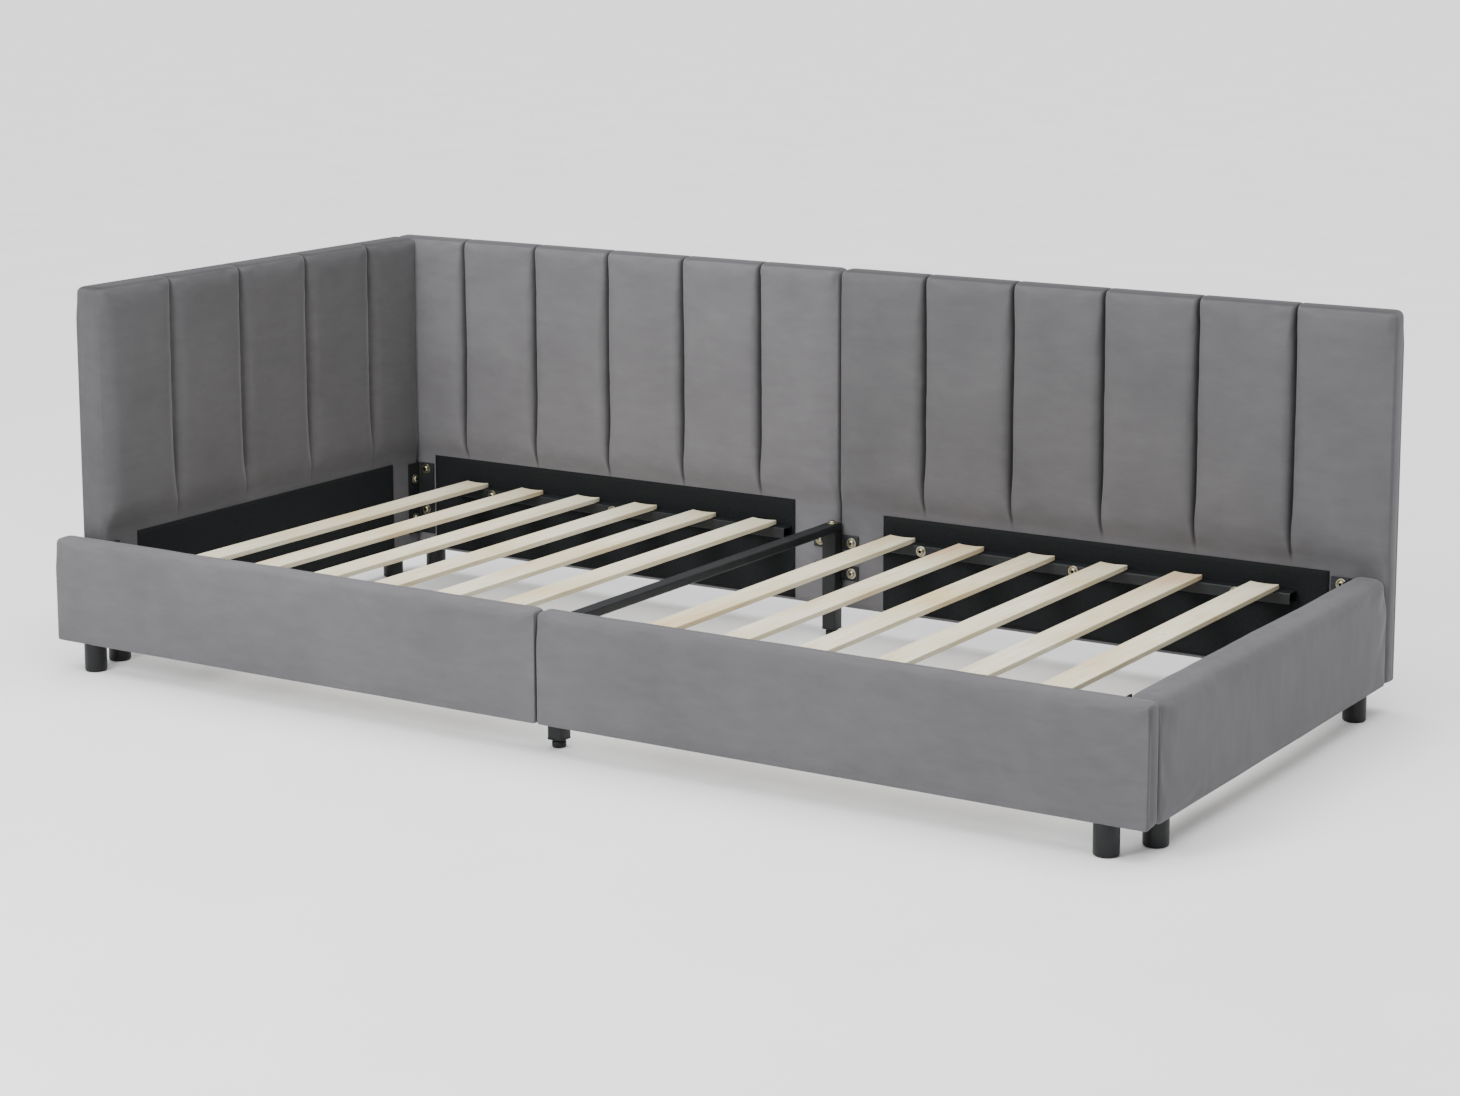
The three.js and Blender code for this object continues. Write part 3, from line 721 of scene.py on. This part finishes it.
def make_lining(name, seed):
    """A stapled patch of lining: one thin sheet, drawn a little unevenly between its staples."""
    node = f"{name}_lining"
    low, high = (Vector(p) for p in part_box(node))
    size = high - low
    flat_axis = min(range(3), key=lambda i: size[i])
    along = 1 - flat_axis
    bm = bmesh.new()
    bmesh.ops.create_grid(bm, x_segments=90, y_segments=18, size=0.5)
    inner = low if name in ("back_left", "back_right", "foot") else high
    outer = high if inner is low else low
    outwards = math.copysign(1.0, inner[flat_axis] - outer[flat_axis])
    for vert in bm.verts:
        across, up = vert.co.x + 0.5, vert.co.y + 0.5
        edge = min(across * size[along], (1 - across) * size[along], up * size.z, (1 - up) * size.z)
        drawn = noise.noise(Vector((across * size[along] * 14, up * size.z * 16, seed)))
        rise = LINING_WAVE * drawn * smoothstep(0, 25 * MM, edge)
        place = Vector((0, 0, low.z + up * size.z))
        place[along] = low[along] + across * size[along]
        place[flat_axis] = (low[flat_axis] + high[flat_axis]) / 2 + outwards * rise
        vert.co = place
    bm.normal_update()
    bmesh.ops.solidify(bm, geom=list(bm.faces), thickness=LINING_THICK)
    bmesh.ops.recalc_face_normals(bm, faces=bm.faces)
    sheet = to_object(bm, f"{name}_lining_sheet", LINING, smooth=True)
    give(sheet, [node])


# ------------------------------------------------------------------ slats
SLAT_EASE = 1.2 * MM
SLAT_CUP = 1.6 * MM
SLAT_BOW = 0.8 * MM
SLAT_WANDER = 0.6 * MM


def make_slat(node, seed):
    """A slightly cupped plywood slat with eased edges, its concave face up."""
    low, high = (Vector(p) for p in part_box(node))
    width, length, _ = high - low
    bm = box_bm(low, high)
    bevel_edges(bm, list(bm.edges), SLAT_EASE)
    cut_evenly(bm, 0, low.x, width, 10)
    cut_evenly(bm, 1, low.y, length, 16)
    middle = (low.x + high.x) / 2
    cup = SLAT_CUP + 0.5 * MM * noise.noise(Vector((seed, 0, 0)))
    for vert in bm.verts:
        share = (vert.co.x - middle) / (width / 2)
        along = (vert.co.y - low.y) / length
        bow = SLAT_BOW * math.sin(math.pi * along) * noise.noise(Vector((0, seed, 0)))
        vert.co.z += cup * (share * share - 0.35) + bow
        vert.co.x += SLAT_WANDER * noise.noise(Vector((seed, along * 2, 3)))
    slat = to_object(bm, f"{node}_plank", BIRCH[seed % len(BIRCH)])
    give(slat, [node])


BIRCH = [
    birch("birch_plywood_pale", 0.37, "#efe0c4"),
    birch("birch_plywood_warm", 1.91, "#f0d9b4"),
    birch("birch_plywood_pink", 4.13, "#f2dccb"),
]


# ------------------------------------------------------------------ steel and plastic
TUBE_WALL = 2 * MM
TUBE_CORNER = 2.5 * MM
BEARER_CORNER = 2.2 * MM
BEARER_BORE = 80 * MM           # how far one can see into an open end
BEAM_BORE = 50 * MM
LEG_BORE = 1 * MM               # closed at its top by a cap, and at its foot by a plug


def eased_box(low, high, width, segments=2):
    bm = box_bm(low, high)
    bevel_edges(bm, list(bm.edges), width, segments)
    return bm


def tube_bm(low, high, axis, corner, deep):
    """A square steel tube along one axis with rounded corners, its open ends deep enough to see
    into."""
    bm = box_bm(low, high)
    along = [e for e in bm.edges if abs(e.verts[0].co[axis] - e.verts[1].co[axis]) > 1e-6]
    bevel_edges(bm, along, corner, 3)
    ends = [f for f in bm.faces if len(f.verts) > 4]
    bmesh.ops.inset_individual(bm, faces=ends, thickness=TUBE_WALL, depth=0)
    inside = (low[axis] + high[axis]) / 2
    for end in ends:
        place = end.calc_center_median()[axis]
        bore = bmesh.ops.extrude_discrete_faces(bm, faces=[end])["faces"][0]
        shift = [0, 0, 0]
        shift[axis] = math.copysign(deep, inside - place)
        bmesh.ops.translate(bm, vec=shift, verts=bore.verts)
    bmesh.ops.recalc_face_normals(bm, faces=bm.faces)
    return bm


def gather(parts):
    """One mesh from several."""
    whole = bmesh.new()
    for bm in parts:
        scratch = bpy.data.meshes.new("scratch")
        bm.to_mesh(scratch)
        bm.free()
        whole.from_mesh(scratch)
        bpy.data.meshes.remove(scratch)
    return whole


def make_bearer(where):
    node = f"ledger_{where}"
    low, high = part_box(node)
    bearer = to_object(tube_bm(low, high, 0, BEARER_CORNER, BEARER_BORE), f"bearer_{where}", STEEL)
    give(bearer, [node])


def make_beam():
    """Centre beam: a shallow tube that lies on the legs' closed tops."""
    low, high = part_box("centre_beam")
    tube = tube_bm(low, high, 1, TUBE_CORNER, BEAM_BORE)
    beam = to_object(tube, "centre_beam_tube", STEEL)
    give(beam, ["centre_beam"])


PLATE_HEIGHTS = (178 * MM, 120 * MM)
PLATE_HIGH = 28 * MM
PLATE_THICK = 3 * MM
PLATE_BOLT = 34 * MM
TUBE_SIDE = 28 * MM
CAP_THICK = 3 * MM
CAP_INSIDE = 1.5 * MM           # from the tube's sides to the cap's
PLATE_OVERLAP = 0.3 * MM        # how far a plate reaches into the tube's side
WELD_RADIUS = 2.2 * MM


def make_centre_leg(where):
    """Square-tube leg with two cross plates, a weld bead along each, and a closed top."""
    node = f"centre_leg_{where}"
    low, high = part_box(node)
    middle = (low.x + high.x) / 2
    inward = 1 if where == "front" else -1
    wall_y = low.y if where == "front" else high.y
    plate_y = wall_y + inward * PLATE_THICK
    near, far = sorted((plate_y, plate_y + inward * TUBE_SIDE))
    side = TUBE_SIDE / 2
    parts = [tube_bm(
        Vector((middle - side, near, low.z)), Vector((middle + side, far, high.z)), 2,
        TUBE_CORNER, LEG_BORE,
    )]
    parts.append(eased_box(
        (middle - side + CAP_INSIDE, near + CAP_INSIDE, high.z - CAP_THICK),
        (middle + side - CAP_INSIDE, far - CAP_INSIDE, high.z), 0.4 * MM,
    ))
    bolts = []
    for height in PLATE_HEIGHTS:
        y_low, y_high = sorted((wall_y, plate_y + inward * PLATE_OVERLAP))
        parts.append(eased_box(
            (low.x, y_low, height - PLATE_HIGH / 2), (high.x, y_high, height + PLATE_HIGH / 2),
            1.2 * MM,
        ))
        for hand in (-1, 1):
            bead_x = middle + hand * (side + 0.6 * MM)
            bead = bmesh.new()
            bmesh.ops.create_uvsphere(bead, u_segments=10, v_segments=16, radius=1.0)
            bead_size = (WELD_RADIUS, WELD_RADIUS, PLATE_HIGH * 0.46)
            bmesh.ops.scale(bead, vec=bead_size, verts=bead.verts)
            place_bm(bead, Matrix.Translation((bead_x, plate_y + inward * 0.5 * MM, height)))
            parts.append(bead)
            bolts.append(((middle + hand * PLATE_BOLT, plate_y + inward * PLATE_OVERLAP, height),
                          (0, inward, 0)))
    leg = to_object(gather(parts), f"centre_leg_{where}_welded", STEEL, smooth=True, sharp_over=40)
    give(leg, [node])
    bolt_group(f"centre_leg_{where}_bolts", bolts)


BRACKET_THICK = 3 * MM
BRACKET_BEND = 2.4 * MM
BRACKET_EASE = 0.5 * MM
BRACKET_END_BOLT = 32 * MM
BRACKET_SIDE_BOLTS = (12 * MM, 96 * MM)


def make_bracket(where):
    """Corner bracket: folded steel angle, rounded at its bend, two bolts in each flange."""
    node = f"corner_bracket_{where}"
    low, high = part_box(node)
    corner_x, out_x = (low.x, high.x) if where.startswith("head") else (high.x, low.x)
    corner_y, out_y = (low.y, high.y) if where.endswith("front") else (high.y, low.y)
    sign_x = math.copysign(1.0, out_x - corner_x)
    sign_y = math.copysign(1.0, out_y - corner_y)
    thick = BRACKET_THICK
    outline = [
        (corner_x, corner_y), (out_x, corner_y), (out_x, corner_y + sign_y * thick),
        (corner_x + sign_x * thick, corner_y + sign_y * thick),
        (corner_x + sign_x * thick, out_y), (corner_x, out_y),
    ]
    bm = bmesh.new()
    base = bm.faces.new([bm.verts.new((x, y, low.z)) for x, y in outline])
    raised = bmesh.ops.extrude_face_region(bm, geom=[base])["geom"]
    lifted = [v for v in raised if isinstance(v, bmesh.types.BMVert)]
    bmesh.ops.translate(bm, vec=(0, 0, high.z - low.z), verts=lifted)
    bends = []
    for edge in bm.edges:
        a, b = (v.co for v in edge.verts)
        upright = abs(a.z - b.z) > thick
        if upright and max(abs(a.x - corner_x), abs(a.y - corner_y)) < 2 * thick:
            bends.append(edge)
    bevel_edges(bm, bends, BRACKET_BEND, 4)
    rims = [e for e in bm.edges if e.calc_face_angle(0) > math.radians(60)]
    bevel_edges(bm, rims, BRACKET_EASE)
    bmesh.ops.recalc_face_normals(bm, faces=bm.faces)
    bracket = to_object(bm, f"corner_angle_{where}", STEEL, smooth=True, sharp_over=40)
    give(bracket, [node])
    middle_x = (corner_x + out_x) / 2
    middle_y = (corner_y + out_y) / 2
    bolts = []
    for below_top in BRACKET_SIDE_BOLTS:
        seat = (middle_x, corner_y + sign_y * thick, high.z - below_top)
        bolts.append((seat, (0, sign_y, 0)))
    for height in (low.z + BRACKET_END_BOLT, high.z - BRACKET_END_BOLT):
        bolts.append(((corner_x + sign_x * thick, middle_y, height), (sign_x, 0, 0)))
    bolt_group(f"corner_angle_{where}_bolts", bolts)


def bolt_bm():
    """A button-head bolt on a washer, along +Z from its seat at z = 0, with a hexagon socket."""
    washer, head, socket = 10.0, 6.4, 3.3       # radii, mm
    seat, head_high, shank = 1.6, 3.6, 12.0     # washer's thickness, head's height, depth, mm
    top = seat + head_high
    outline = [
        (0, -shank), (3.2, -shank), (4, -shank + 0.8), (4, 0), (washer - 0.4, 0), (washer, 0.4),
        (washer, seat - 0.4), (washer - 0.4, seat), (head + 1.2, seat), (head + 0.6, seat - 0.9),
        (head - 0.5, seat - 0.9), (head, seat + 0.3),
        (head - 0.2, seat + head_high * 0.45), (head - 1.2, seat + head_high * 0.8),
        (head - 2.6, top), (socket + 0.3, top), (0, top),
    ]
    bm = spin_profile([(r * MM, z * MM) for r, z in outline], steps=24)
    crown = [f for f in bm.faces if all(v.co.xy.length < (socket + 0.4) * MM and v.co.z > 0
                                        for v in f.verts)]
    bmesh.ops.delete(bm, geom=crown, context="FACES")
    bmesh.ops.delete(bm, geom=[v for v in bm.verts if not v.link_faces], context="VERTS")
    rim = [e for e in bm.edges if e.is_boundary]
    ring = bmesh.ops.create_circle(
        bm, cap_ends=False, segments=6, radius=socket * MM,
        matrix=Matrix.Translation((0, 0, top * MM)),
    )["verts"]
    ring_edges = list({e for v in ring for e in v.link_edges})
    bmesh.ops.bridge_loops(bm, edges=rim + ring_edges)
    walls = bmesh.ops.extrude_edge_only(bm, edges=ring_edges)["geom"]
    floor = [v for v in walls if isinstance(v, bmesh.types.BMVert)]
    bmesh.ops.translate(bm, vec=(0, 0, -2.6 * MM), verts=floor)
    bmesh.ops.contextual_create(bm, geom=floor)
    bmesh.ops.recalc_face_normals(bm, faces=bm.faces)
    return bm


def bolt_group(name, places, nodes=()):
    """Several equal bolts in one piece. places is a list of (seat, direction)."""
    parts = []
    for i, (seat, direction) in enumerate(places):
        twist = Matrix.Rotation(0.9 * i + 0.3, 4, "Z")
        aim = Vector(direction).to_track_quat("Z", "Y").to_matrix().to_4x4()
        parts.append(place_bm(bolt_bm(), Matrix.Translation(seat) @ aim @ twist))
    bolts = to_object(gather(parts), name, ZINC, smooth=True, sharp_over=35)
    give(bolts, nodes)


BEARER_BOLT_END = 100 * MM


def make_bearer_bolts(where):
    low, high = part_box(f"ledger_{where}")
    inward = 1 if where.startswith("front") else -1
    seat_y = high.y if inward > 0 else low.y
    height = (low.z + high.z) / 2
    stops = (low.x + BEARER_BOLT_END, (low.x + high.x) / 2, high.x - BEARER_BOLT_END)
    bolt_group(f"bearer_{where}_bolts", [((x, seat_y, height), (0, inward, 0)) for x in stops])


def make_beam_bolt(where):
    low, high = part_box(f"beam_bolt_{where}")
    beam_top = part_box("centre_beam")[1].z
    seat = ((low.x + high.x) / 2, (low.y + high.y) / 2, beam_top)
    bolt_group(f"beam_bolt_{where}_head", [(seat, (0, 0, 1))], [f"beam_bolt_{where}"])


def make_legs():
    nodes = [
        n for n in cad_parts
        if "_leg" in n and not n.startswith(("centre_leg", "leg_plug"))
    ]
    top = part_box("headboard_cover")[0].z
    for node in sorted(nodes):
        low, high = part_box(node)
        radius = (high.x - low.x) / 2
        ease = 4 * MM
        bend = [i * math.pi / 10 for i in range(1, 6)]
        outline = [(0, 0), (radius - ease, 0)]
        outline += [(radius - ease + ease * math.sin(a), ease - ease * math.cos(a)) for a in bend]
        outline += [(radius, top - 1 * MM), (radius - 1 * MM, top + 3 * MM), (0, top + 3 * MM)]
        bm = spin_profile(outline, steps=56)
        place_bm(bm, Matrix.Translation(((low.x + high.x) / 2, (low.y + high.y) / 2, 0)))
        leg = to_object(bm, f"{node}_round", PLASTIC, smooth=True, sharp_over=35)
        give(leg, [node])


def make_plug(where):
    """Square plug pressed into the tube, its flange flush with the tube's sides."""
    node = f"leg_plug_{where}"
    low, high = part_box(node)
    flange_top = low.z + 3 * MM
    inner = 2.3 * MM
    flange = eased_box(low, (high.x, high.y, flange_top), 1.0 * MM, 3)
    shank = eased_box(
        (low.x + inner, low.y + inner, flange_top - 1 * MM),
        (high.x - inner, high.y - inner, high.z), 0.6 * MM,
    )
    plug = to_object(
        gather([flange, shank]), f"leg_plug_{where}_moulded", PLASTIC, smooth=True, sharp_over=40,
    )
    give(plug, [node])


def make_levelling_foot(where):
    """Round pad on a threaded stud: it screws in and out under the centre leg."""
    node = f"levelling_foot_{where}"
    low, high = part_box(node)
    pad = (high.x - low.x) / 2
    pad_top = 11 * MM
    pitch = 1.25 * MM
    outline = [
        (0, 0), (pad - 2.2 * MM, 0), (pad - 1.2 * MM, 0.4 * MM), (pad - 0.3 * MM, 1.6 * MM),
        (pad, 3 * MM), (pad, pad_top - 2 * MM), (pad - 0.6 * MM, pad_top - 0.6 * MM),
        (pad - 2 * MM, pad_top), (6.5 * MM, pad_top), (6 * MM, pad_top + 0.6 * MM),
        (4 * MM, pad_top + 0.7 * MM),
    ]
    height = pad_top + 0.7 * MM
    while height + pitch < high.z:
        outline += [(3.4 * MM, height + 0.6 * MM), (4 * MM, height + pitch)]
        height += pitch
    outline += [(3.2 * MM, high.z), (0, high.z)]
    bm = spin_profile(outline, steps=40)
    place_bm(bm, Matrix.Translation(((low.x + high.x) / 2, (low.y + high.y) / 2, 0)))
    foot = to_object(bm, f"levelling_foot_{where}_turned", PLASTIC, smooth=True, sharp_over=35)
    give(foot, [node], body=f"foot_{where}")


def finish_cad(nodes, material):
    for node in nodes:
        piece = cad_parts[node]
        piece.data.materials.clear()
        piece.data.materials.append(material)


make_camera()
make_studio()
for panel_name in PANELS:
    make_panel(panel_name)
for index, panel_name in enumerate(PANELS):
    make_lining(panel_name, index * 5.0)
for index in range(6):
    make_slat(f"slat_left_{index + 1}", index)
    make_slat(f"slat_right_{index + 1}", index + 7)
for where in ("front_left", "front_right", "back_left", "back_right"):
    make_bearer(where)
    make_bearer_bolts(where)
make_beam()
for where in ("front", "back"):
    make_centre_leg(where)
    make_plug(where)
    make_levelling_foot(where)
    make_beam_bolt(where)
for where in ("head_front", "head_back", "foot_front", "foot_back"):
    make_bracket(where)
make_legs()
finish_cad([f"{panel_name}_core" for panel_name in PANELS], PLYWOOD)
